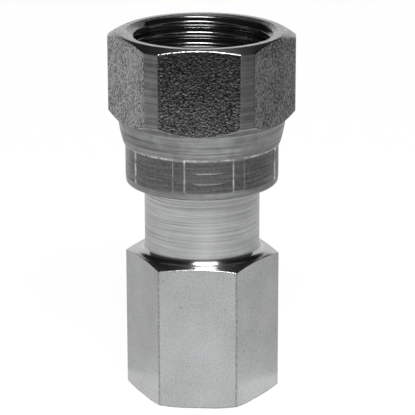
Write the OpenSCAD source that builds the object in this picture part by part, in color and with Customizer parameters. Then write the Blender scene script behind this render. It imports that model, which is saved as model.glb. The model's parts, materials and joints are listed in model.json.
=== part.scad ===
// Female swivel fitting for flat-face O-ring connections: a tail turned from
// hexagon bar, and a nut that is crimped on to it and turns freely.
// Millimetres. Z is the flow axis, with Z = 0 at the tail's base.

/* [Tail hexagon] */
// Across flats of the tail's hexagon
tail_hex = 19.05; // [18.6:0.05:21]
// Height of the tail's hexagon
tail_hex_h = 20.8; // [18:0.1:30]
// Slope of the chamfers on the tail's hexagon, in degrees
tail_chamfer = 15; // [10:1:25]
// How far the upper chamfer starts inside the flats
tail_top_inset = 0.05; // [0.02:0.01:0.1]
// How far the lower chamfer starts outside the flats
tail_base_outset = 0.3; // [0.1:0.05:0.5]

/* [Neck and nose] */
// Diameter of the neck that shows under the nut
neck_d = 16.35; // [16.2:0.05:16.6]
// Length of neck that shows between the hexagon and the nut
neck_show = 10.4; // [7:0.1:16]
// Radius at the root of the neck
neck_fillet = 1.1; // [0.6:0.1:1.2]
// Diameter of the groove that the nut is crimped into
groove_d = 15.2; // [15:0.05:15.4]
// Length of the groove's round floor
groove_len = 4.5; // [4:0.1:6]
// Diameter of the nose that carries the sealing face
nose_d = 18.1; // [17.9:0.05:18.3]
// Length of the nose's round rim
nose_len = 3.7; // [3:0.1:4.5]
// Chamfer round the sealing face
nose_chamfer = 0.3; // [0.2:0.05:0.5]
// Diameter of the flow bore
flow_d = 9.5; // [8:0.1:10.5]

/* [Pipe port] */
// Diameter of the tapped hole in the base
port_d = 11.2; // [11:0.05:12]
// Depth of the tapped hole
port_depth = 13; // [10:0.1:16]
// Diameter of the port's countersink at the base
port_mouth_d = 13.9; // [13.2:0.1:14.5]
// Point angle of the drill that made the port, in degrees
drill_point = 118; // [100:1:140]

/* [Nut hexagon] */
// Across flats of the nut
nut_hex = 23.8; // [23.7:0.05:24.6]
// Diameter that the nut's corners are turned down to
nut_corner_d = 26.3; // [25.8:0.1:27]
// Length of the nut
nut_len = 21.55; // [21.2:0.05:24]
// Height of the nut's turned corners, from the end face
nut_hex_h = 11.2; // [10.5:0.1:11.5]
// Diameter of the nut's flat end face
nut_face_d = 23.1; // [22.6:0.1:23.5]
// Slope of the chamfer round the end face, in degrees
nut_chamfer = 22; // [18:1:30]
// Slope of the cone under the corners, in degrees
nut_under = 41; // [38:1:46]
// Turn of the nut on the tail, in degrees
nut_turn = 2.4; // [0:0.2:30]

/* [Union thread] */
// Major diameter of the union thread
thread_d = 20.64; // [20.5:0.02:20.8]
// Radial depth of the thread
thread_depth = 0.75; // [0.6:0.05:0.85]
// Length from the end face to the last turn
thread_len = 10; // [9.5:0.1:10.5]
// Diameter of the countersink at the nut's end face
mouth_d = 21.35; // [21:0.05:22]
// Width of the thread relief
relief_len = 2; // [1.6:0.1:2.2]
// Radial depth of the relief beyond the thread
relief_depth = 0.1; // [0.05:0.05:0.2]

/* [Crimped skirt] */
// Diameter of the skirt before it bends in
skirt_d = 23.6; // [23.4:0.1:23.8]
// Diameter that the dies press the skirt to
crimp_d = 21.65; // [21.5:0.05:22]
// Height of the lands left between the dies
crimp_land = 0.2; // [0.1:0.05:0.3]
// Number of dies round the skirt
crimp_count = 8; // [6:1:9]
// Arc that one die covers, in degrees
crimp_arc = 37.8; // [24:0.2:38.4]
// Height of the pressed band
crimp_h = 4.85; // [4:0.05:5.2]
// Height of the rim under the pressed band
crimp_rim = 0.95; // [0.8:0.05:1.1]
// Step from the pressed band in to the rim
crimp_step = 0.05; // [0.02:0.01:0.1]
// Radius of a die's upper edge
die_round = 0.3; // [0.2:0.05:0.6]
// Turn of the dies against the nut's flats, in degrees
crimp_turn = 7; // [0:1:22]
// Height over which the skirt bends in
bend_h = 3.6; // [3.2:0.1:4]
// Radius of the bend, seen from the side
bend_r = 18; // [12:1:30]
// Rounding of the skirt's lower edge
skirt_round = 0.35; // [0.2:0.05:0.6]
// Depth of the recess in the skirt's lower face
lip_recess = 0.8; // [0.6:0.05:1]

/* [Clearances] */
// Radial clearance between the nut's lip and the groove
lip_clear = 0.3; // [0.2:0.05:0.35]
// Radial clearance round the nose and the neck
nose_clear = 0.25; // [0.2:0.05:0.3]
// Axial float of the nut on the tail
nut_float = 0.5; // [0.3:0.05:0.8]

/* [Hidden] */
$fn = 96;
// Overrun of every cut past the face that it opens
over = 1;
// Points on each arc of a turned profile
arc_steps = 10;
STEEL_BRIGHT = [0.68, 0.69, 0.7];
STEEL_DARK = [0.46, 0.47, 0.48];

// Heights along the flow axis
nut_base_z = tail_hex_h + neck_show;
nut_top_z = nut_base_z + nut_len;
neck_top_z = nut_base_z + lip_recess;
groove_top_z = neck_top_z + groove_len;
nose_back_z = groove_top_z + (nose_d - groove_d) / 2;
face_z = nose_back_z + nose_len + nose_chamfer;
corner_low_z = nut_top_z - nut_hex_h;
skirt_top_z = corner_low_z - (nut_corner_d - skirt_d) / 2 * tan(nut_under);
bend_low_z = skirt_top_z - bend_h;
rim_top_z = nut_base_z + crimp_rim;
die_top_z = rim_top_z + crimp_h;

// Radii that follow from the sizes above
thread_bore_r = thread_d / 2 - thread_depth;
relief_r = thread_d / 2 + relief_depth;
lip_r = groove_d / 2 + lip_clear;
nose_bore_r = nose_d / 2 + nose_clear;
land_r = crimp_d / 2 + crimp_land;
rim_r = crimp_d / 2 - crimp_step;
// The 45 degree seat under the nose lies the float below the nose's own back
seat_top_z = nose_back_z + nose_clear - nut_float;
seat_low_z = seat_top_z - (nose_bore_r - lip_r);

// Points of an arc about a centre, from one angle to another
function arc(x, z, r, from, to) =
    [for (i = [0 : arc_steps]) let (a = from + (to - from) * i / arc_steps) [x + r * cos(a), z + r * sin(a)]];

// Slanted chord of the bend, and the tilt and half opening of its arc
bend_run = skirt_d / 2 - land_r;
bend_chord = norm([bend_run, bend_h]);
bend_tilt = atan2(bend_run, bend_h);
bend_half = asin(bend_chord / 2 / bend_r);
// Points of the bend from its lower to its upper end
function bend_points() =
    arc(land_r - bend_r * cos(bend_tilt + bend_half), bend_low_z + bend_r * sin(bend_tilt + bend_half),
        bend_r, -bend_tilt - bend_half, -bend_tilt + bend_half);

// Hexagonal bar with two of its corners on the X axis, long enough to be trimmed at both ends
module hex_bar(across, low, high) {
    translate([0, 0, low - over])
        cylinder(d = across / cos(30), h = high - low + 2 * over, $fn = 6);
}

// Turned envelope that puts the chamfers on the tail's hexagon
module tail_chamfers() {
    corner_r = tail_hex / 2 / cos(30) + over;
    top_r = tail_hex / 2 - tail_top_inset;
    base_r = tail_hex / 2 + tail_base_outset;
    rotate_extrude()
        polygon([
            [0, 0],
            [base_r, 0],
            [corner_r, (corner_r - base_r) * tan(tail_chamfer)],
            [corner_r, tail_hex_h - (corner_r - top_r) * tan(tail_chamfer)],
            [top_r, tail_hex_h],
            [0, tail_hex_h]
        ]);
}

// Neck with its root radius, the groove for the nut's lip, and the nose
module neck_and_nose() {
    neck_r = neck_d / 2;
    rotate_extrude()
        polygon(concat(
            [[0, tail_hex_h - over], [neck_r + neck_fillet, tail_hex_h - over]],
            arc(neck_r + neck_fillet, tail_hex_h + neck_fillet, neck_fillet, 270, 180),
            [
                [neck_r, neck_top_z],
                [groove_d / 2, neck_top_z],
                [groove_d / 2, groove_top_z],
                [nose_d / 2, nose_back_z],
                [nose_d / 2, face_z - nose_chamfer],
                [nose_d / 2 - nose_chamfer, face_z],
                [0, face_z]
            ]
        ));
}

// Tapped hole, drill point and flow bore through the tail
module tail_bores() {
    port_r = port_d / 2;
    flow_r = flow_d / 2;
    mouth = port_mouth_d / 2 - port_r;
    point = (port_r - flow_r) / tan(drill_point / 2);
    rotate_extrude()
        polygon([
            [0, -over],
            [port_mouth_d / 2 + over, -over],
            [port_r, mouth],
            [port_r, port_depth],
            [flow_r, port_depth + point],
            [flow_r, face_z + over],
            [0, face_z + over]
        ]);
}

// Tail turned from hexagon bar
module tail_body() {
    color(STEEL_BRIGHT)
        difference() {
            union() {
                intersection() {
                    hex_bar(tail_hex, 0, tail_hex_h);
                    tail_chamfers();
                }
                neck_and_nose();
            }
            tail_bores();
        }
}

// Turned envelope of the nut's hexagon: end chamfer, corners and under-cone
module nut_chamfers() {
    corner_r = nut_corner_d / 2;
    face_r = nut_face_d / 2;
    rotate_extrude()
        polygon([
            [0, skirt_top_z - over],
            [skirt_d / 2 - over, skirt_top_z - over],
            [skirt_d / 2, skirt_top_z],
            [corner_r, corner_low_z],
            [corner_r, nut_top_z - (corner_r - face_r) * tan(nut_chamfer)],
            [face_r, nut_top_z],
            [0, nut_top_z]
        ]);
}

// Skirt that the dies have bent in, standing over the rim by a 45 degree step
module nut_skirt() {
    rotate_extrude()
        polygon(concat(
            [[0, nut_base_z]],
            arc(rim_r - skirt_round, nut_base_z + skirt_round, skirt_round, 270, 360),
            [[rim_r, rim_top_z], [land_r, rim_top_z + land_r - rim_r]],
            bend_points(),
            [[skirt_d / 2 - over, skirt_top_z + over], [0, skirt_top_z + over]]
        ));
}

// Bite of one crimping die, with its rounded upper edge. It passes clear of the rim.
module die_bite() {
    die_r = crimp_d / 2;
    deep = skirt_d / 2 + over;
    rotate([0, 0, -90 - crimp_arc / 2])
        rotate_extrude(angle = crimp_arc)
            polygon(concat(
                [[deep, nut_base_z], [die_r, nut_base_z]],
                arc(die_r + die_round, die_top_z - die_round, die_round, 180, 90),
                [[deep, die_top_z]]
            ));
}

// Inside of the nut: mouth, thread bore, relief, nose bore, seat, lip and recess
module nut_bores() {
    mouth_r = mouth_d / 2;
    lead = mouth_r - thread_bore_r;
    thread_low_z = nut_top_z - thread_len;
    recess_r = neck_d / 2 + nose_clear;
    rotate_extrude()
        polygon([
            [0, nut_base_z - over],
            [recess_r, nut_base_z - over],
            [recess_r, nut_base_z + lip_recess],
            [lip_r, nut_base_z + lip_recess],
            [lip_r, seat_low_z],
            [nose_bore_r, seat_top_z],
            [nose_bore_r, thread_low_z - relief_len],
            [relief_r, thread_low_z - relief_len],
            [relief_r, thread_low_z],
            [thread_bore_r, thread_low_z],
            [thread_bore_r, nut_top_z - lead],
            [mouth_r + over, nut_top_z + over],
            [0, nut_top_z + over]
        ]);
}

// Nut that turns on the tail, held by its crimped skirt
module swivel_nut() {
    color(STEEL_DARK)
        rotate([0, 0, nut_turn])
            difference() {
                union() {
                    intersection() {
                        hex_bar(nut_hex, skirt_top_z, nut_top_z);
                        nut_chamfers();
                    }
                    nut_skirt();
                }
                for (i = [0 : crimp_count - 1])
                    rotate([0, 0, crimp_turn + i * 360 / crimp_count])
                        die_bite();
                nut_bores();
            }
}

tail_body();
swivel_nut();
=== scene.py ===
import json
import math

import bmesh
import bpy
from mathutils import Matrix, Vector


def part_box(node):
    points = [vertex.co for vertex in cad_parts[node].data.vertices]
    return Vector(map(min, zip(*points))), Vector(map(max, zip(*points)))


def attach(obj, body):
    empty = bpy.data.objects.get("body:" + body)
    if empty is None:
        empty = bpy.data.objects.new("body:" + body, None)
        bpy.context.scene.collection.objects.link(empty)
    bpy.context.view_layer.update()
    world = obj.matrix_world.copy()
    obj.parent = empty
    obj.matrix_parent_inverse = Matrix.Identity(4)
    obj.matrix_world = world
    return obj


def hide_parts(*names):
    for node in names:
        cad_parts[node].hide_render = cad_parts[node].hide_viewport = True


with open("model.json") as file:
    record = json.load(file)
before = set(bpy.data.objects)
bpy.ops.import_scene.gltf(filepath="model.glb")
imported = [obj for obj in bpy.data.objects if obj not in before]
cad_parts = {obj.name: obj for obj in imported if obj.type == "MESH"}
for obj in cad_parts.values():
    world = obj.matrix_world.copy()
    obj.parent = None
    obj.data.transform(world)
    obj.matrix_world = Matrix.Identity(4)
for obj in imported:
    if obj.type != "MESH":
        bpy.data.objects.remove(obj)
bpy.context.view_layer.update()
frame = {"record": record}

# Every size below is in millimetres and every angle in degrees, unless a comment says otherwise
MM = 0.001
MOUNTS = {mount["name"]: mount for mount in frame["record"]["mounts"]}
TAIL_LOW, TAIL_HIGH = [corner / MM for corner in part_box("tail_body")]
NUT_LOW, NUT_HIGH = [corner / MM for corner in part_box("swivel_nut")]

# Clearances between the tail and the nut. LIP_GAP lifts the lip just off the tail's shoulder.
LIP_RECESS = 0.8
LIP_CLEAR = 0.3
LIP_GAP = 0.02
NECK_CLEAR = 0.25
NOSE_CLEAR = 0.25
NUT_FLOAT = 0.5

# How far the rounding of an edge reaches back from it
KEEN_EDGE = 0.04
RING_EDGE = 0.05
FINE_EDGE = 0.06
CRISP_EDGE = 0.08
BROKEN_EDGE = 0.1
WORN_EDGE = 0.12
SOFT_EDGE = 0.15
CORNER_EDGE = 0.17

# Tail: hexagon, neck, groove and nose. The band is the darker strip on the hexagon's edges.
TAIL_HEX = TAIL_HIGH.y - TAIL_LOW.y
TAIL_HEX_TOP = 20.8
TAIL_CHAMFER = 15
TAIL_TOP_INSET = 0.05
TAIL_BASE_OUTSET = 0.3
TAIL_CORNER_ROUND = 0.12
TAIL_CORNER_BAND = 0.7
TAIL_CORNER_MARKS = (0.4, 0.8, 1.3, 3)
TAIL_FOOT_WALL = 0.4
# Height of the painted shade band along the hexagon's foot, where it meets the floor.
TAIL_FOOT_SHADE = 0.2
NECK_R = 8.175
NECK_FILLET = 1.1
NECK_TOP = NUT_LOW.z + LIP_RECESS
FILLET_STEPS = 10
FILLET_LAND = 0.05
GROOVE_R = 7.6
GROOVE_LEN = 4.5
GROOVE_TOP = NECK_TOP + GROOVE_LEN
NOSE_R = 9.05
NOSE_BACK = GROOVE_TOP + NOSE_R - GROOVE_R
FACE_Z = TAIL_HIGH.z
NOSE_CHAMFER = 0.3
FLOW_R = 4.75
PORT_R = MOUNTS["pipe_port"]["dims"]["r_mm"]
PORT_DEPTH = 13
PORT_MOUTH_R = 6.95
PORT_PITCH = 1.337
PORT_ROOT_R = 6.5785
PORT_THREAD_LEN = PORT_DEPTH - 2
DRILL_POINT = 118

# Nut: hexagon with turned corners, mouth and thread
NUT_HEX = 23.8
NUT_CORNER_R = 13.15
NUT_CORNER_ROUND = 0.06
NUT_CORNER_MARKS = (-0.9, -0.45, -0.2, 0, 0.2, 0.45, 0.9)
NUT_STRIP = math.degrees(math.acos(NUT_HEX / 2 / NUT_CORNER_R))
NUT_TURN = 2.4
NUT_FACE_R = 11.55
NUT_CHAMFER = 22
NUT_HEX_H = 11.2
NUT_UNDER = 41
# The flats' foot band near the corners carries a painted highlight.
UNDER_BAND = 0.1
UNDER_HIGHLIGHT_FROM = 0.7 * NUT_STRIP
MOUTH_R = 10.675
COUNTERSINK = 0.6
THREAD_R = MOUNTS["nut_thread"]["dims"]["r_mm"]
THREAD_ROOT_R = 10.32
THREAD_PITCH = 25.4 / 16
THREAD_LEN = 10
THREAD_LIFT = 0.69
THREAD_RUN_OUT = 0.6 * THREAD_PITCH
RELIEF_R = 10.42
RELIEF_LEN = 2
CORNER_LOW = NUT_HIGH.z - NUT_HEX_H

# Threads: their flanks, and how their crests and roots are eased
FLANK = 30
CREST_EASE = 0.08
CREST_SLOPE = 1.6
CUTTER_INSET = 0.05
ROOT_EASE = 0.06

# Nut: crimped skirt, its dies and its lip. Shares and marks say where the mesh has points.
SKIRT_R = 11.8
SKIRT_TOP = CORNER_LOW - (NUT_CORNER_R - SKIRT_R) * math.tan(math.radians(NUT_UNDER))
BEND_H = 3.6
BEND_R = 18
BEND_SHARES = (0.2, 0.4, 0.6, 0.8, 0.93)
DIE_R = 10.825
DIE_COUNT = 8
DIE_ARC = 37.8
DIE_TURN = 7
DIE_WALL = 1.2
DIE_H = 4.85
WALL_MARKS = (-0.15, 0, 0.25, 0.5, 0.75, 1, 1.15)
# Past this share into a die wall, the wall carries a painted highlight, and short of it a painted shade.
WALL_HIGHLIGHT_FROM = 0.3
LAND_DEPTH = 0.2
LAND_R = DIE_R + LAND_DEPTH
LAND_DROP = 0.35
SHELF_SINK = 0.02
SHELF_H = 0.3
RIM_STEP = 0.05
RIM_R = DIE_R - RIM_STEP
RIM_H = 0.95
RIM_TOP = NUT_LOW.z + RIM_H
DIE_TOP = RIM_TOP + DIE_H
SKIRT_ROUND = 0.35
SKIRT_STEPS = 8
LIP_R = GROOVE_R + LIP_CLEAR
NOSE_BORE_R = NOSE_R + NOSE_CLEAR
# Two thin grooves round the dies, kept to a short arc that faces the lamp: real grooves in the bump, and a
# painted highlight where they lighten the tone.
GROOVE_GLINT_LEVELS = (DIE_TOP - 3.4, DIE_TOP - 1.9)
GROOVE_GLINT_HALF = 0.1
GROOVE_GLINT_ARC = 0.22  # radians
GROOVE_GLINT_TURN = 9

# Meshes: the widest turn between two columns, and a thread's steps in one turn
COLUMN_STEP = 2.5
THREAD_STEPS = 72

# Zones of the two pieces, in the order of their material slots. nut_zone turns SHELF and UNDER into others.
# Two of these zones paint light: a painted highlight on the nut, and a painted shade on the nut's die walls
# and along the tail's foot, which also darkens the tail hexagon's upright corners.
FLAT, TURNED, BRIGHT, BORE, END, PRESSED, PAINTED_HIGHLIGHT, DARK_BAND, MOUTH, SHELF, UNDER = range(11)


def tan(angle):
    """Tangent of an angle in degrees."""
    return math.tan(math.radians(angle))


def wrap(angle, step):
    """The angle's offset from the nearest multiple of step."""
    return (angle + step / 2) % step - step / 2


def soft_min(a, b, soft):
    """The lesser of two lengths, rounded where they cross."""
    share = max(soft - abs(a - b), 0) / soft
    return min(a, b) - share * share * soft / 4


def hexagon(angle, across, corner_r, soft):
    """Distance from the axis to a hexagon with turned corners; its front flat faces angle 0."""
    flat = across / 2 / math.cos(math.radians(wrap(angle, 60)))
    return soft_min(flat, corner_r, soft)


def arc(r, z, radius, start, end, steps):
    """Points of an arc in a turned profile."""
    turns = [math.radians(start + (end - start) * i / steps) for i in range(steps + 1)]
    return [(r + radius * math.cos(turn), z + radius * math.sin(turn)) for turn in turns]


def rounded(corners, steps=4):
    """Rounds a closed profile. A corner is (r, z, cut, zone), and cut is how far its rounding reaches."""
    points = []
    for index, (r, z, cut, zone) in enumerate(corners):
        here = Vector((r, z))
        before = Vector(corners[index - 1][:2]) - here
        after = Vector(corners[(index + 1) % len(corners)][:2]) - here
        if not cut:
            points.append((r, z, zone))
            continue
        start = here + before.normalized() * min(cut, 0.45 * before.length)
        end = here + after.normalized() * min(cut, 0.45 * after.length)
        for step in range(steps + 1):
            share = step / steps
            place = start * (1 - share) ** 2 + here * 2 * share * (1 - share) + end * share ** 2
            points.append((place.x, place.y, zone))
    return points


def spread(marks, widest):
    """Sorted angles round a full turn: the marks, with more between them where they lie far apart."""
    marks = sorted(set(round(mark % 360, 4) for mark in marks))
    angles = []
    for index, mark in enumerate(marks):
        gap = (marks[(index + 1) % len(marks)] - mark) % 360
        pieces = max(1, math.ceil(gap / widest))
        angles += [mark + gap * piece / pieces for piece in range(pieces)]
    return angles


def add_piece(name, mesh):
    """Puts a finished mesh into the scene."""
    data = bpy.data.meshes.new(name)
    mesh.to_mesh(data)
    mesh.free()
    piece = bpy.data.objects.new(name, data)
    bpy.context.scene.collection.objects.link(piece)
    return piece


def revolve(name, angles, profile, turn, zone_at):
    """A closed solid whose profile changes with the angle. Angle 0 faces -Y, and angles run towards +X."""
    mesh = bmesh.new()
    columns = []
    for angle in angles:
        way = math.radians(angle + turn)
        points = rounded(profile(angle))
        zones = [zone for _, _, zone in points]
        columns.append([
            mesh.verts.new((r * MM * math.sin(way), -r * MM * math.cos(way), z * MM)) for r, z, _ in points
        ])
    for index, column in enumerate(columns):
        following = columns[(index + 1) % len(columns)]
        middle = angles[index] + wrap(angles[(index + 1) % len(angles)] - angles[index], 360) / 2
        for row in range(len(column)):
            below = (row + 1) % len(column)
            face = mesh.faces.new((column[row], column[below], following[below], following[row]))
            face.material_index = zone_at(zones[row], middle)
            face.smooth = True
    bmesh.ops.recalc_face_normals(mesh, faces=mesh.faces)
    return add_piece(name, mesh)


def thread_section(crest_r, root_r, pitch):
    """The outline of one thread groove, as radius and height, with eased crests and root."""
    root_half = pitch / 16
    lead_r = crest_r + CREST_EASE
    lead_half = root_half + (root_r - lead_r) * tan(FLANK)
    open_r = crest_r - CUTTER_INSET
    open_half = lead_half + (lead_r - open_r) * CREST_SLOPE
    return [
        (open_r, -open_half),
        (lead_r, -lead_half),
        (root_r - ROOT_EASE, -root_half - ROOT_EASE * tan(FLANK)),
        (root_r, -root_half / 2),
        (root_r, root_half / 2),
        (root_r - ROOT_EASE, root_half + ROOT_EASE * tan(FLANK)),
        (lead_r, lead_half),
        (open_r, open_half),
    ]


def thread_cutter(name, crest_r, root_r, pitch, low, high):
    """The helix that a right-hand thread takes out of a bore, between two heights."""
    section = thread_section(crest_r, root_r, pitch)
    mesh = bmesh.new()
    rings = []
    for step in range(round((high - low) / pitch * THREAD_STEPS) + 1):
        way = 2 * math.pi * step / THREAD_STEPS
        rise = low + pitch * step / THREAD_STEPS
        rings.append([
            mesh.verts.new((r * MM * math.cos(way), r * MM * math.sin(way), (rise + lift) * MM))
            for r, lift in section
        ])
    for ring, following in zip(rings, rings[1:]):
        for index in range(len(section)):
            after = (index + 1) % len(section)
            mesh.faces.new((ring[index], ring[after], following[after], following[index]))
    mesh.faces.new(rings[0])
    mesh.faces.new(rings[-1])
    bmesh.ops.recalc_face_normals(mesh, faces=mesh.faces)
    cutter = add_piece(name, mesh)
    for face in cutter.data.polygons:
        face.material_index = BORE
        face.use_smooth = True
    return cutter


def cut_thread(piece, cutter):
    """Takes the cutter out of the piece and deletes it. The piece's material slots keep their order."""
    materials = list(piece.data.materials)
    for material in materials:
        cutter.data.materials.append(material)
    cut = piece.modifiers.new("thread", "BOOLEAN")
    cut.operation = "DIFFERENCE"
    cut.solver = "MANIFOLD"
    cut.object = cutter
    bpy.context.view_layer.update()
    shaped = piece.evaluated_get(bpy.context.evaluated_depsgraph_get())
    data = bpy.data.meshes.new_from_object(shaped)
    for slot, material in enumerate(materials):
        data.materials[slot] = material
    piece.modifiers.clear()
    piece.data = data
    bpy.data.objects.remove(cutter)


def finish_edges(piece, sharpest=40):
    """Smooth shading that keeps flats flat and crisp edges crisp."""
    piece.data.set_sharp_from_angle(angle=math.radians(sharpest))
    weigh = piece.modifiers.new("flat_faces", "WEIGHTED_NORMAL")
    weigh.keep_sharp = True


def tail_profile(angle):
    """The tail's outline at one angle, from the port's mouth round the outside and back down the bore."""
    half = TAIL_HEX / 2
    side = hexagon(angle, TAIL_HEX, half / math.cos(math.radians(30)), TAIL_CORNER_ROUND)
    base_r = half + TAIL_BASE_OUTSET
    top_r = half - TAIL_TOP_INSET
    base_z = max(side - base_r, 0) * tan(TAIL_CHAMFER)
    top_z = TAIL_HEX_TOP - (side - top_r) * tan(TAIL_CHAMFER)
    fillet = arc(NECK_R + NECK_FILLET, TAIL_HEX_TOP + NECK_FILLET, NECK_FILLET, 270, 180, FILLET_STEPS)
    point = (PORT_R - FLOW_R) / tan(DRILL_POINT / 2)
    return (
        [
            (PORT_MOUTH_R, 0, BROKEN_EDGE, END),
            (min(base_r, side - TAIL_FOOT_WALL), 0, BROKEN_EDGE, END),
            # The foot's rounding and the band above it are painted shade where the hexagon meets the floor.
            (side, base_z, WORN_EDGE, DARK_BAND),
            (side, base_z + TAIL_FOOT_SHADE, 0, FLAT),
            (side, top_z, FINE_EDGE, BRIGHT),
        ]
        + [(r, z, 0, BRIGHT) for r, z in fillet]
        + [
            (NECK_R, TAIL_HEX_TOP + NECK_FILLET + FILLET_LAND, 0, TURNED),
            (NECK_R, NECK_TOP, SOFT_EDGE, TURNED),
            (GROOVE_R, NECK_TOP, BROKEN_EDGE, TURNED),
            (GROOVE_R, GROOVE_TOP, BROKEN_EDGE, TURNED),
            (NOSE_R, NOSE_BACK, BROKEN_EDGE, TURNED),
            (NOSE_R, FACE_Z - NOSE_CHAMFER, CRISP_EDGE, TURNED),
            (NOSE_R - NOSE_CHAMFER, FACE_Z, CRISP_EDGE, END),
            (FLOW_R, FACE_Z, SOFT_EDGE, BORE),
            (FLOW_R, PORT_DEPTH + point, SOFT_EDGE, BORE),
            (PORT_R, PORT_DEPTH, BROKEN_EDGE, BORE),
            (PORT_R, PORT_MOUTH_R - PORT_R, 0, BORE),
        ]
    )


def bend_radius(z):
    """Radius of the skirt where it bends in, at a height between its lower and upper ends."""
    run = SKIRT_R - LAND_R
    chord = math.hypot(run, BEND_H)
    tilt = math.atan2(run, BEND_H)
    half = math.asin(chord / 2 / BEND_R)
    centre_r = LAND_R - BEND_R * math.cos(tilt + half)
    centre_z = SKIRT_TOP - BEND_H + BEND_R * math.sin(tilt + half)
    return centre_r + math.sqrt(BEND_R ** 2 - (z - centre_z) ** 2)


def die_mask(angle):
    """1 where a die has pressed the skirt, 0 on the lands between the dies, with sloping walls."""
    off_centre = abs(wrap(angle - DIE_TURN, 360 / DIE_COUNT))
    share = min(max((DIE_ARC / 2 - off_centre) / DIE_WALL, 0), 1)
    return share * share * (3 - 2 * share)


def skirt_profile(angle):
    """The skirt's outline at one angle, from its top down to its rounded lower edge."""
    pressed = die_mask(angle)
    bend_low = SKIRT_TOP - BEND_H
    shelf_low = DIE_TOP - SHELF_H
    shelf_r = bend_radius(max(shelf_low, bend_low)) * (1 - pressed) + DIE_R * pressed
    wall_r = LAND_R * (1 - pressed) + DIE_R * pressed
    bend = [SKIRT_TOP - (SKIRT_TOP - DIE_TOP) * share for share in BEND_SHARES]
    edge = arc(RIM_R - SKIRT_ROUND, NUT_LOW.z + SKIRT_ROUND, SKIRT_ROUND, 0, -90, SKIRT_STEPS)
    return (
        [(bend_radius(z), z, 0, TURNED) for z in bend]
        + [
            (bend_radius(DIE_TOP) - SHELF_SINK * pressed, DIE_TOP, FINE_EDGE, SHELF),
            (shelf_r, shelf_low, CRISP_EDGE, PRESSED),
            (wall_r, bend_low - LAND_DROP, 0, PRESSED),
            (wall_r, RIM_TOP + wall_r - RIM_R, KEEN_EDGE, TURNED),
            (RIM_R, RIM_TOP, KEEN_EDGE, TURNED),
        ]
        + [(r, z, 0, TURNED) for r, z in edge]
    )


def nut_profile(angle):
    """The nut's outline at one angle, from the mouth round the outside and back up the bore."""
    side = hexagon(angle, NUT_HEX, NUT_CORNER_R, NUT_CORNER_ROUND)
    top = NUT_HIGH.z
    chamfer_z = top - (side - NUT_FACE_R) * tan(NUT_CHAMFER)
    under_z = CORNER_LOW - (NUT_CORNER_R - side) * tan(NUT_UNDER)
    recess_r = NECK_R + NECK_CLEAR
    recess_z = NUT_LOW.z + LIP_RECESS + LIP_GAP
    seat_top = NOSE_BACK + NOSE_CLEAR - NUT_FLOAT
    thread_low = top - THREAD_LEN
    return (
        [
            (MOUTH_R, top, FINE_EDGE, END),
            (NUT_FACE_R, top, RING_EDGE, TURNED),
            (side, chamfer_z, CORNER_EDGE, FLAT),
            (side, under_z + UNDER_BAND, 0, UNDER),
            (side, under_z, WORN_EDGE, TURNED),
            (SKIRT_R, SKIRT_TOP, WORN_EDGE, TURNED),
        ]
        + skirt_profile(angle)
        + [
            (recess_r, NUT_LOW.z, BROKEN_EDGE, BORE),
            (recess_r, recess_z, BROKEN_EDGE, BORE),
            (LIP_R, recess_z, BROKEN_EDGE, BORE),
            (LIP_R, seat_top - (NOSE_BORE_R - LIP_R), BROKEN_EDGE, BORE),
            (NOSE_BORE_R, seat_top, BROKEN_EDGE, BORE),
            (NOSE_BORE_R, thread_low - RELIEF_LEN, BROKEN_EDGE, BORE),
            (RELIEF_R, thread_low - RELIEF_LEN, BROKEN_EDGE, BORE),
            (RELIEF_R, thread_low, 0, BORE),
            (THREAD_R, thread_low, 0, BORE),
            (THREAD_R, top - COUNTERSINK, 0, MOUTH),
        ]
    )


def tail_zone(zone, angle):
    """The hexagon's upright corners are a little darker than its flats."""
    return DARK_BAND if zone == FLAT and abs(wrap(angle - 30, 60)) < TAIL_CORNER_BAND else zone


def nut_zone(zone, angle):
    """The corners between the flats are turned. The dies' edges, the shelves at the dies' tops and the
    flats' lower corners carry a painted highlight, and the outer part of each die wall a painted shade.
    """
    pressed = die_mask(angle)
    off_flat = abs(wrap(angle, 60))
    if zone == FLAT and off_flat > NUT_STRIP:
        return TURNED
    if zone == PRESSED and 0 < pressed < 1:
        return PAINTED_HIGHLIGHT if pressed > WALL_HIGHLIGHT_FROM else DARK_BAND
    if zone == SHELF:
        return PAINTED_HIGHLIGHT if pressed > WALL_HIGHLIGHT_FROM else TURNED
    if zone == UNDER:
        return PAINTED_HIGHLIGHT if off_flat > UNDER_HIGHLIGHT_FROM else TURNED
    return zone


def make_tail(materials):
    """The tail, threaded at its port. The materials are in the zones' order."""
    marks = [60 * k + 30 + side * offset
             for k in range(6) for side in (-1, 1) for offset in TAIL_CORNER_MARKS]
    tail = revolve("tail", spread(marks, COLUMN_STEP), tail_profile, 0, tail_zone)
    for material in materials:
        tail.data.materials.append(material)
    cutter = thread_cutter("port_thread", PORT_R, PORT_ROOT_R, PORT_PITCH, -PORT_PITCH, PORT_THREAD_LEN)
    cut_thread(tail, cutter)
    finish_edges(tail)
    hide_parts("tail_body")
    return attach(tail, "tail")


def make_nut(materials):
    """The nut, threaded in its mouth. The materials are in the zones' order."""
    marks = [60 * k + side * (NUT_STRIP + offset)
             for k in range(6) for side in (-1, 1) for offset in NUT_CORNER_MARKS]
    marks += [360 / DIE_COUNT * k + DIE_TURN + side * (DIE_ARC / 2 - DIE_WALL * share)
              for k in range(DIE_COUNT) for side in (-1, 1) for share in WALL_MARKS]
    nut = revolve("nut", spread(marks, COLUMN_STEP), nut_profile, NUT_TURN, nut_zone)
    for material in materials:
        nut.data.materials.append(material)
    low = NUT_HIGH.z - THREAD_LEN - THREAD_RUN_OUT + THREAD_LIFT
    high = NUT_HIGH.z + THREAD_PITCH
    cut_thread(nut, thread_cutter("nut_thread", THREAD_R, THREAD_ROOT_R, THREAD_PITCH, low, high))
    finish_edges(nut)
    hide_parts("swivel_nut")
    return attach(nut, "nut")


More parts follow.
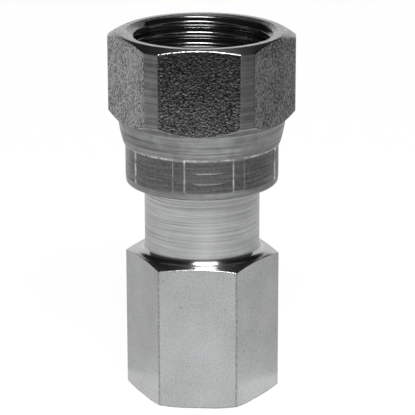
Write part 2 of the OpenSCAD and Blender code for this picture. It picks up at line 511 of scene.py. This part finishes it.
def add_node(tree, kind, settings=None, **inputs):
    """A shader node. Its inputs, by name or as in0, in1 and so on, take a value or another node's socket."""
    node = tree.nodes.new(kind)
    for key, value in (settings or {}).items():
        setattr(node, key, value)
    for key, value in inputs.items():
        socket = node.inputs[int(key[2:])] if key.startswith("in") else node.inputs[key.replace("_", " ")]
        if isinstance(value, bpy.types.NodeSocket):
            tree.links.new(value, socket)
        else:
            socket.default_value = value
    return node


def math_node(tree, operation, first, second=0.0, clamp=False):
    """The result of one sum on sockets or values."""
    settings = {"operation": operation, "use_clamp": clamp}
    return add_node(tree, "ShaderNodeMath", settings, in0=first, in1=second).outputs[0]


def noise(tree, place, scale, detail, roughness=0.5):
    """The value of a soft noise."""
    values = {"Vector": place, "Scale": scale, "Detail": detail, "Roughness": roughness}
    return add_node(tree, "ShaderNodeTexNoise", **values).outputs[0]


def effect(name, inputs, outputs):
    """An empty node group with number inputs, given as name and value, and number outputs."""
    group = bpy.data.node_groups.new(name, "ShaderNodeTree")
    for label, value in inputs:
        socket = group.interface.new_socket(label, in_out="INPUT", socket_type="NodeSocketFloat")
        socket.default_value = value
    for label in outputs:
        group.interface.new_socket(label, in_out="OUTPUT", socket_type="NodeSocketFloat")
    return group, group.nodes.new("NodeGroupInput"), group.nodes.new("NodeGroupOutput")


def millimetres(tree):
    """Object coordinates in millimetres."""
    place = tree.nodes.new("ShaderNodeTexCoord")
    scaled = add_node(tree, "ShaderNodeVectorMath", {"operation": "SCALE"}, in0=place.outputs["Object"])
    scaled.inputs["Scale"].default_value = 1 / MM
    return scaled.outputs[0]


# Effects: how much finer the small grain is, and how steeply lines end and specks rise
FINE_RATIO = 2.3
LINE_END = 3.0
SPECK_EDGE = 12.0


def make_grain():
    """Peened grain: small bumps of one size, with finer ones on them."""
    group, given, out = effect("peened_grain", [("Size", 0.3), ("Fine Share", 0.4)], ["Height", "Tone"])
    place = millimetres(group)
    pitch = math_node(group, "DIVIDE", 1.0, given.outputs["Size"])
    coarse = noise(group, place, pitch, detail=1.0)
    fine = noise(group, place, math_node(group, "MULTIPLY", pitch, FINE_RATIO), detail=1.0)
    fine_part = math_node(group, "MULTIPLY", fine, given.outputs["Fine Share"])
    group.links.new(math_node(group, "ADD", coarse, fine_part), out.inputs["Height"])
    group.links.new(coarse, out.inputs["Tone"])
    return group


def make_rings():
    """Tool marks that run round a turned surface, a little uneven in depth."""
    group, given, out = effect("turning_rings", [("Pitch", 0.3), ("Waver", 0.02)], ["Height", "Tone"])
    parts = add_node(group, "ShaderNodeSeparateXYZ", Vector=millimetres(group))
    across_x = math_node(group, "MULTIPLY", parts.outputs[0], given.outputs["Waver"])
    across_y = math_node(group, "MULTIPLY", parts.outputs[1], given.outputs["Waver"])
    place = add_node(group, "ShaderNodeCombineXYZ", X=across_x, Y=across_y, Z=parts.outputs[2])
    pitch = math_node(group, "DIVIDE", 1.0, given.outputs["Pitch"])
    marks = noise(group, place.outputs[0], pitch, detail=2.0, roughness=0.6)
    group.links.new(marks, out.inputs["Height"])
    group.links.new(marks, out.inputs["Tone"])
    return group


def closeness(tree, value, centre, half_width):
    """1 at the centre, falling to 0 half a width away from it."""
    off = math_node(tree, "ABSOLUTE", math_node(tree, "SUBTRACT", value, centre))
    return math_node(tree, "SUBTRACT", 1.0, math_node(tree, "DIVIDE", off, half_width), clamp=True)


def make_groove_glint():
    """A short, thin line at one height, only on the arc that faces the lamp: 1 on the line, 0 away from it.
    Turns are in radians.
    """
    inputs = [("Level", 0.0), ("Half Width", 0.1), ("Turn", 0.0), ("Half Arc", 0.2)]
    group, given, out = effect("tool_line", inputs, ["Mask"])
    parts = add_node(group, "ShaderNodeSeparateXYZ", Vector=millimetres(group))
    forward = math_node(group, "MULTIPLY", parts.outputs[1], -1.0)
    turn = math_node(group, "ARCTAN2", parts.outputs[0], forward)
    near = closeness(group, parts.outputs[2], given.outputs["Level"], given.outputs["Half Width"])
    along = closeness(group, turn, given.outputs["Turn"], given.outputs["Half Arc"])
    along = math_node(group, "MULTIPLY", along, LINE_END, clamp=True)
    group.links.new(math_node(group, "MULTIPLY", near, along), out.inputs["Mask"])
    return group


def make_specks():
    """Scattered small pits and dark specks: 1 in a speck, 0 elsewhere."""
    group, given, out = effect("specks", [("Spacing", 1.0), ("Amount", 0.3)], ["Mask"])
    place = millimetres(group)
    pitch = math_node(group, "DIVIDE", 1.0, given.outputs["Spacing"])
    cells = add_node(group, "ShaderNodeTexVoronoi", Vector=place, Scale=pitch)
    pattern = noise(group, place, pitch, detail=2.0)
    near = math_node(group, "SUBTRACT", given.outputs["Amount"], cells.outputs["Distance"])
    patchy = math_node(group, "MULTIPLY", near, pattern)
    group.links.new(math_node(group, "MULTIPLY", patchy, SPECK_EDGE, clamp=True), out.inputs["Mask"])
    return group


def make_clouds():
    """Broad, faint patches in a plated surface."""
    group, given, out = effect("plating_clouds", [("Size", 4.0)], ["Tone"])
    pitch = math_node(group, "DIVIDE", 1.0, given.outputs["Size"])
    group.links.new(noise(group, millimetres(group), pitch, detail=4.0), out.inputs["Tone"])
    return group


GRAIN, RINGS, GROOVE_GLINT = make_grain(), make_rings(), make_groove_glint()
SPECKS, CLOUDS = make_specks(), make_clouds()


def use(tree, group, **inputs):
    """Places a node group with its own values."""
    node = tree.nodes.new("ShaderNodeGroup")
    node.node_tree = group
    for key, value in inputs.items():
        node.inputs[key.replace("_", " ")].default_value = value
    return node


def blend_tone(tree, tones):
    """A factor from several sockets, each with how far it may move it. Tones rest at 0.5, masks at 0."""
    total = 0.5
    for socket, reach in tones:
        centred = math_node(tree, "SUBTRACT", socket, 0.5 if socket.name == "Tone" else 0.0)
        total = math_node(tree, "ADD", math_node(tree, "MULTIPLY", centred, reach), total)
    return total


# A quarter turn as the shader counts it, which stretches highlights along the axis
QUARTER_TURN = 0.25


def steel_grey(level):
    """A very slightly cool grey."""
    return (level * 0.99, level, level * 1.01, 1)


def metal(name, tones, height, dark, light, roughness, rough_swing, bump, depth, turned=0.0):
    """Plated steel. tones and height build their nodes in its tree; turned stretches highlights upright."""
    material = bpy.data.materials.new(name)
    material.use_nodes = True
    tree = material.node_tree
    shader = tree.nodes["Principled BSDF"]
    shader.inputs["Metallic"].default_value = 1.0
    factor = blend_tone(tree, tones(tree))
    colour = add_node(tree, "ShaderNodeMix", {"data_type": "RGBA"}, Factor=factor)
    start, end = [socket for socket in colour.inputs if socket.type == "RGBA"]
    start.default_value = steel_grey(dark)
    end.default_value = steel_grey(light)
    output = [socket for socket in colour.outputs if socket.type == "RGBA"][0]
    tree.links.new(output, shader.inputs["Base Color"])
    swing = math_node(tree, "MULTIPLY", math_node(tree, "SUBTRACT", 0.5, factor), rough_swing)
    tree.links.new(math_node(tree, "ADD", swing, roughness, clamp=True), shader.inputs["Roughness"])
    if turned:
        around = add_node(tree, "ShaderNodeTangent", {"direction_type": "RADIAL", "axis": "Z"})
        tree.links.new(around.outputs[0], shader.inputs["Tangent"])
        shader.inputs["Anisotropic"].default_value = turned
        shader.inputs["Anisotropic Rotation"].default_value = QUARTER_TURN
    bump_node = add_node(tree, "ShaderNodeBump", Strength=bump, Distance=depth * MM, Height=height(tree))
    tree.links.new(bump_node.outputs[0], shader.inputs["Normal"])
    return material


def nut_flat_finish():
    def tones(tree):
        return [
            (use(tree, GRAIN, Size=0.32).outputs["Tone"], 2.3),
            (use(tree, CLOUDS, Size=3.0).outputs["Tone"], 0.8),
        ]

    def height(tree):
        return use(tree, GRAIN, Size=0.33, Fine_Share=0.6).outputs["Height"]

    return metal("nut_flats", tones, height, dark=0.03, light=0.38, roughness=0.18,
                 rough_swing=0.06, bump=0.9, depth=0.035)


def nut_turned_finish():
    def tones(tree):
        return [
            (use(tree, RINGS, Pitch=0.35, Waver=0.02).outputs["Tone"], 2.2),
            (use(tree, CLOUDS, Size=1.5).outputs["Tone"], 1.0),
        ]

    def height(tree):
        return use(tree, RINGS, Pitch=0.25, Waver=0.02).outputs["Height"]

    return metal("nut_turned", tones, height, dark=0.15, light=0.37, roughness=0.34,
                 rough_swing=0.06, bump=0.6, depth=0.03, turned=0.6)


def pressed_finish():
    # The lines are real grooves in the bump and a painted highlight in the tone, on the arc that faces the
    # lamp.
    def lines(tree):
        turn = math.radians(GROOVE_GLINT_TURN)
        lower, upper = [
            use(tree, GROOVE_GLINT, Level=level, Half_Width=GROOVE_GLINT_HALF, Turn=turn, Half_Arc=GROOVE_GLINT_ARC)
            for level in GROOVE_GLINT_LEVELS
        ]
        return math_node(tree, "ADD", lower.outputs["Mask"], upper.outputs["Mask"])

    def tones(tree):
        return [
            (use(tree, RINGS, Pitch=0.25, Waver=0.04).outputs["Tone"], 1.6),
            (use(tree, GRAIN, Size=0.4).outputs["Tone"], 0.8),
            (lines(tree), 1.5),
        ]

    def height(tree):
        rings = use(tree, RINGS, Pitch=0.25, Waver=0.04).outputs["Height"]
        return math_node(tree, "SUBTRACT", rings, math_node(tree, "MULTIPLY", lines(tree), 2.5))

    return metal("nut_pressed", tones, height, dark=0.085, light=0.24, roughness=0.3,
                 rough_swing=0.06, bump=0.5, depth=0.03, turned=0.5)


# Painted highlight on the die walls, the die shelves and the flats' lower corners.
def painted_highlight_finish():
    def tones(tree):
        return [(use(tree, GRAIN, Size=0.6).outputs["Tone"], 3.0)]

    def height(tree):
        return use(tree, GRAIN, Size=0.3).outputs["Height"]

    return metal("nut_burnished", tones, height, dark=0.3, light=0.75, roughness=0.4,
                 rough_swing=0.1, bump=0.3, depth=0.03)


# Painted shade on the outer part of each die wall.
def painted_shade_finish():
    def tones(tree):
        return [(use(tree, GRAIN, Size=0.3).outputs["Tone"], 1.5)]

    def height(tree):
        return use(tree, GRAIN, Size=0.3).outputs["Height"]

    return metal("dark_crease", tones, height, dark=0.09, light=0.28, roughness=0.4,
                 rough_swing=0.1, bump=0.3, depth=0.03)


# Darker grey for the tail hexagon's upright corners and its foot; along the foot the darker grey is painted
# shade.
def corner_finish():
    def tones(tree):
        return [(use(tree, GRAIN, Size=0.5).outputs["Tone"], 2.0)]

    def height(tree):
        return use(tree, GRAIN, Size=0.3).outputs["Height"]

    return metal("tail_corners", tones, height, dark=0.22, light=0.42, roughness=0.3,
                 rough_swing=0.1, bump=0.4, depth=0.02)


# This grey is darker than the nut's turned faces, and the difference is partly painted shade inside the
# nut's bore.
def thread_finish():
    def tones(tree):
        return [(use(tree, CLOUDS, Size=1.5).outputs["Tone"], 0.8)]

    def height(tree):
        return use(tree, GRAIN, Size=0.5).outputs["Height"]

    return metal("nut_thread", tones, height, dark=0.12, light=0.27, roughness=0.2,
                 rough_swing=0.06, bump=0.25, depth=0.01)


def nut_end_finish():
    def tones(tree):
        return [
            (use(tree, CLOUDS, Size=2.0).outputs["Tone"], 0.6),
            (use(tree, RINGS, Pitch=0.5, Waver=0.8).outputs["Tone"], 1.2),
            (use(tree, SPECKS, Spacing=1.0, Amount=0.25).outputs["Mask"], -0.8),
        ]

    def height(tree):
        return use(tree, GRAIN, Size=0.4).outputs["Height"]

    return metal("nut_end", tones, height, dark=0.26, light=0.46, roughness=0.26,
                 rough_swing=0.1, bump=0.3, depth=0.02)


def mouth_finish():
    def tones(tree):
        return [(use(tree, GRAIN, Size=0.4).outputs["Tone"], 2.0)]

    def height(tree):
        return use(tree, GRAIN, Size=0.35).outputs["Height"]

    return metal("nut_mouth", tones, height, dark=0.3, light=0.7, roughness=0.36,
                 rough_swing=0.1, bump=0.9, depth=0.08, turned=0.3)


def tail_flat_finish():
    def tones(tree):
        return [
            (use(tree, CLOUDS, Size=6.0).outputs["Tone"], 0.9),
            (use(tree, GRAIN, Size=0.25).outputs["Tone"], 1.0),
            (use(tree, SPECKS, Spacing=2.2, Amount=0.12).outputs["Mask"], -1.2),
        ]

    def height(tree):
        return use(tree, GRAIN, Size=0.3, Fine_Share=0.5).outputs["Height"]

    return metal("tail_flats", tones, height, dark=0.34, light=0.56, roughness=0.25,
                 rough_swing=0.08, bump=0.4, depth=0.02)


def tail_turned_finish():
    def tones(tree):
        return [
            (use(tree, RINGS, Pitch=0.22, Waver=0.015).outputs["Tone"], 1.8),
            (use(tree, CLOUDS, Size=2.5).outputs["Tone"], 0.5),
        ]

    def height(tree):
        return use(tree, RINGS, Pitch=0.3, Waver=0.015).outputs["Height"]

    return metal("tail_neck", tones, height, dark=0.37, light=0.66, roughness=0.28,
                 rough_swing=0.08, bump=0.7, depth=0.03, turned=0.6)


def tail_bright_finish():
    def tones(tree):
        return [
            (use(tree, CLOUDS, Size=2.0).outputs["Tone"], 0.8),
            (use(tree, RINGS, Pitch=0.15, Waver=0.5).outputs["Tone"], 1.0),
            (use(tree, SPECKS, Spacing=1.6, Amount=0.15).outputs["Mask"], -1.5),
        ]

    def height(tree):
        return use(tree, RINGS, Pitch=0.4, Waver=0.02).outputs["Height"]

    return metal("tail_shoulder", tones, height, dark=0.34, light=0.5, roughness=0.2,
                 rough_swing=0.06, bump=0.3, depth=0.02, turned=0.8)


def bore_finish():
    def tones(tree):
        return [(use(tree, CLOUDS, Size=2.0).outputs["Tone"], 0.5)]

    def height(tree):
        return use(tree, RINGS, Pitch=0.25, Waver=0.02).outputs["Height"]

    return metal("tail_bore", tones, height, dark=0.4, light=0.5, roughness=0.25,
                 rough_swing=0.1, bump=0.3, depth=0.02)


tail_bore = bore_finish()
tail_neck = tail_turned_finish()
tail_bright = tail_bright_finish()
make_tail([tail_flat_finish(), tail_neck, tail_bright, tail_bore, tail_bright, tail_neck, tail_neck,
           corner_finish()])
nut_turned = nut_turned_finish()
make_nut([nut_flat_finish(), nut_turned, nut_turned, thread_finish(), nut_end_finish(), pressed_finish(),
          painted_highlight_finish(), painted_shade_finish(), mouth_finish()])


# Camera, as the photograph was taken: where it stands, and which pixel the point that it aims at falls on
CAMERA_TURN = 4.1
CAMERA_RISE = 17.47
CAMERA_AWAY = 325.7
CAMERA_LENS = 198.3
CAMERA_SENSOR = 36
CAMERA_NEAR = 10
AIM_Z = 26.71
FRAME_PIXELS = 415
AIM_PIXEL = (202.1, 208.92)
CAMERA_ROLL = -0.11


def on_sphere(turn, rise, away):
    """A point seen from the axis at that turn from -Y towards +X and that rise, in metres."""
    flat = math.cos(math.radians(rise))
    way = Vector((math.sin(math.radians(turn)) * flat, -math.cos(math.radians(turn)) * flat,
                  math.sin(math.radians(rise))))
    return way * away * MM


def make_camera():
    """A camera aimed so that the point at AIM_Z falls on AIM_PIXEL."""
    camera = bpy.data.objects.new("camera", bpy.data.cameras.new("camera"))
    camera.data.lens = CAMERA_LENS
    camera.data.sensor_width = CAMERA_SENSOR
    camera.data.clip_start = CAMERA_NEAR * MM
    middle = Vector((0, 0, AIM_Z * MM))
    camera.location = middle + on_sphere(CAMERA_TURN, CAMERA_RISE, CAMERA_AWAY)
    look = (middle - camera.location).to_track_quat("-Z", "Y").to_matrix()
    pixel = CAMERA_AWAY * MM * camera.data.sensor_width / CAMERA_LENS / FRAME_PIXELS
    shift = Vector((FRAME_PIXELS / 2 - AIM_PIXEL[0], AIM_PIXEL[1] - FRAME_PIXELS / 2, 0))
    target = middle + look @ shift * pixel
    aimed = (target - camera.location).to_track_quat("-Z", "Y").to_matrix()
    camera.rotation_euler = (aimed @ Matrix.Rotation(math.radians(CAMERA_ROLL), 3, "Z")).to_euler()
    bpy.context.scene.collection.objects.link(camera)
    bpy.context.scene.camera = camera


# Studio: a pale floor and a pale wall all round it
WALL_AWAY = 1200
WALL_HEIGHT = 520
FLOOR_DROP = 0.02
FLOOR_GLOW = 0.97
WALL_GLOW = 1
PAPER_GREY = 0.85
STAGE_STEPS = 96

# Painted shade that only the metal mirrors, lying round the fitting in place of the floor's light falling
# off far from it. The sway is how much the painted shade changes round the fitting.
REFLECTED_SHADE_INNER = 14
REFLECTED_SHADE_OUTER = 600
REFLECTED_SHADE_HEIGHT = 0.5
REFLECTED_SHADE_GREY = 0.01
REFLECTED_SHADE_DARKEST = 1.08
REFLECTED_SHADE_SWAY = 0.72
REFLECTED_SHADE_TOWARD = (0.4, -0.917, 0)
REFLECTED_SHADE_REACH = 160
REFLECTED_SHADE_CURVE = 5.0
REFLECTED_SHADE_BEHIND = 0.42

# Painted shade standing round the front as a dark card in place of the dark room, which only the metal
# mirrors too
FRONT_SHADE_AWAY = 600
FRONT_SHADE_HALF_ARC = 120
FRONT_SHADE_HEIGHT = 330
FRONT_SHADE_GREY = 0.02
ROOM_GREY = 0.015

# Soft lamp over the camera
LAMP_TURN = 12
LAMP_RISE = 48
LAMP_AWAY = 520
LAMP_WIDTH = 300
LAMP_HEIGHT = 175
LAMP_POWER = 6.8


def even_grey(level):
    """A grey of one level in red, green and blue."""
    return (level, level, level, 1)


def stage_ring(mesh, radius, height, ways):
    """Points of a stage piece's edge, one for each way round."""
    return [
        mesh.verts.new((radius * MM * math.sin(way), -radius * MM * math.cos(way), height * MM))
        for way in ways
    ]


def stage_disc(name, inner, outer, height, material, arc_from=0, arc_to=360, top=None):
    """A flat ring on the floor or, with a top, a wall standing on its outer edge."""
    mesh = bmesh.new()
    turns = [arc_from + (arc_to - arc_from) * step / STAGE_STEPS for step in range(STAGE_STEPS + 1)]
    ways = [math.radians(turn) for turn in turns]
    first = stage_ring(mesh, inner, height, ways)
    last = stage_ring(mesh, outer, height if top is None else top, ways)
    for index in range(STAGE_STEPS):
        mesh.faces.new((first[index], last[index], last[index + 1], first[index + 1]))
    thing = add_piece(name, mesh)
    thing.data.materials.append(material)
    return thing


def pale_paper(name, glow):
    """Pale paper that cameras and metal see as near white, and that still takes a shadow."""
    material = bpy.data.materials.new(name)
    material.use_nodes = True
    tree = material.node_tree
    tree.nodes.remove(tree.nodes["Principled BSDF"])
    paper = add_node(tree, "ShaderNodeBsdfDiffuse", Color=even_grey(PAPER_GREY))
    white = add_node(tree, "ShaderNodeEmission", Color=even_grey(1), Strength=1.0)
    path = tree.nodes.new("ShaderNodeLightPath")
    seen = math_node(tree, "MAXIMUM", path.outputs["Is Camera Ray"], path.outputs["Is Glossy Ray"])
    seen = math_node(tree, "MAXIMUM", seen, path.outputs["Is Transmission Ray"])
    share = math_node(tree, "MULTIPLY", seen, glow)
    mix = add_node(tree, "ShaderNodeMixShader", in0=share, in1=paper.outputs[0], in2=white.outputs[0])
    tree.links.new(mix.outputs[0], tree.nodes["Material Output"].inputs["Surface"])
    return material


def dark_gauze():
    """Painted shade lying round the fitting for the metal to mirror: clear near it, and darkest towards one
    side.
    """
    material = bpy.data.materials.new("dark_gauze")
    material.use_nodes = True
    tree = material.node_tree
    tree.nodes.remove(tree.nodes["Principled BSDF"])
    place = tree.nodes.new("ShaderNodeTexCoord").outputs["Object"]
    away = add_node(tree, "ShaderNodeVectorMath", {"operation": "LENGTH"}, in0=place).outputs["Value"]
    reach = math_node(tree, "DIVIDE", away, REFLECTED_SHADE_REACH * MM, clamp=True)
    unit = add_node(tree, "ShaderNodeVectorMath", {"operation": "NORMALIZE"}, in0=place).outputs[0]
    facing = add_node(tree, "ShaderNodeVectorMath", {"operation": "DOT_PRODUCT"}, in0=unit).outputs["Value"]
    facing.node.inputs[1].default_value = REFLECTED_SHADE_TOWARD
    swayed = math_node(tree, "MULTIPLY", facing, REFLECTED_SHADE_SWAY)
    dark = math_node(tree, "ADD", swayed, REFLECTED_SHADE_DARKEST - REFLECTED_SHADE_SWAY)
    back = add_node(tree, "ShaderNodeSeparateXYZ", Vector=unit).outputs[1]
    behind = math_node(tree, "MULTIPLY", math_node(tree, "ADD", back, 1.0), REFLECTED_SHADE_BEHIND / 2)
    share = math_node(tree, "MULTIPLY", math_node(tree, "POWER", reach, REFLECTED_SHADE_CURVE), dark)
    share = math_node(tree, "ADD", share, behind, clamp=True)
    clear = tree.nodes.new("ShaderNodeBsdfTransparent")
    black = add_node(tree, "ShaderNodeBsdfDiffuse", Color=even_grey(REFLECTED_SHADE_GREY))
    mix = add_node(tree, "ShaderNodeMixShader", in0=share, in1=clear.outputs[0], in2=black.outputs[0])
    tree.links.new(mix.outputs[0], tree.nodes["Material Output"].inputs["Surface"])
    return material


def only_mirrored(thing):
    """The metal mirrors it, but no camera sees it and it casts no shadow."""
    thing.visible_camera = False
    thing.visible_shadow = False
    thing.visible_diffuse = False
    return thing


def dark_card():
    """Painted shade for the metal to mirror: a near-black card."""
    material = bpy.data.materials.new("dark_card")
    material.use_nodes = True
    material.node_tree.nodes["Principled BSDF"].inputs["Base Color"].default_value = even_grey(FRONT_SHADE_GREY)
    return material


def make_studio():
    """The stage round the fitting, painted shade that only the metal mirrors, and a dim room behind it."""
    floor = pale_paper("pale_floor", FLOOR_GLOW)
    wall = pale_paper("pale_wall", WALL_GLOW)
    stage_disc("floor", 0, WALL_AWAY, -FLOOR_DROP, floor)
    stage_disc("wall", WALL_AWAY, WALL_AWAY, -FLOOR_DROP, wall, top=WALL_HEIGHT)
    only_mirrored(stage_disc("gauze_ring", REFLECTED_SHADE_INNER, REFLECTED_SHADE_OUTER, REFLECTED_SHADE_HEIGHT, dark_gauze()))
    only_mirrored(stage_disc("dark_card", FRONT_SHADE_AWAY, FRONT_SHADE_AWAY, 0, dark_card(),
                             arc_from=-FRONT_SHADE_HALF_ARC, arc_to=FRONT_SHADE_HALF_ARC, top=FRONT_SHADE_HEIGHT))
    world = bpy.data.worlds.new("dim_room")
    world.use_nodes = True
    world.node_tree.nodes["Background"].inputs["Color"].default_value = even_grey(ROOM_GREY)
    bpy.context.scene.world = world


def make_lamp():
    """The one lamp, a soft box that faces the fitting from above."""
    data = bpy.data.lights.new("key_lamp", "AREA")
    data.shape = "RECTANGLE"
    data.size = LAMP_WIDTH * MM
    data.size_y = LAMP_HEIGHT * MM
    data.energy = LAMP_POWER
    lamp = bpy.data.objects.new("key_lamp", data)
    middle = Vector((0, 0, AIM_Z * MM))
    lamp.location = middle + on_sphere(LAMP_TURN, LAMP_RISE, LAMP_AWAY)
    lamp.rotation_euler = (middle - lamp.location).to_track_quat("-Z", "Y").to_euler()
    bpy.context.scene.collection.objects.link(lamp)


make_camera()
make_studio()
make_lamp()
bpy.context.scene.view_settings.view_transform = "Standard"
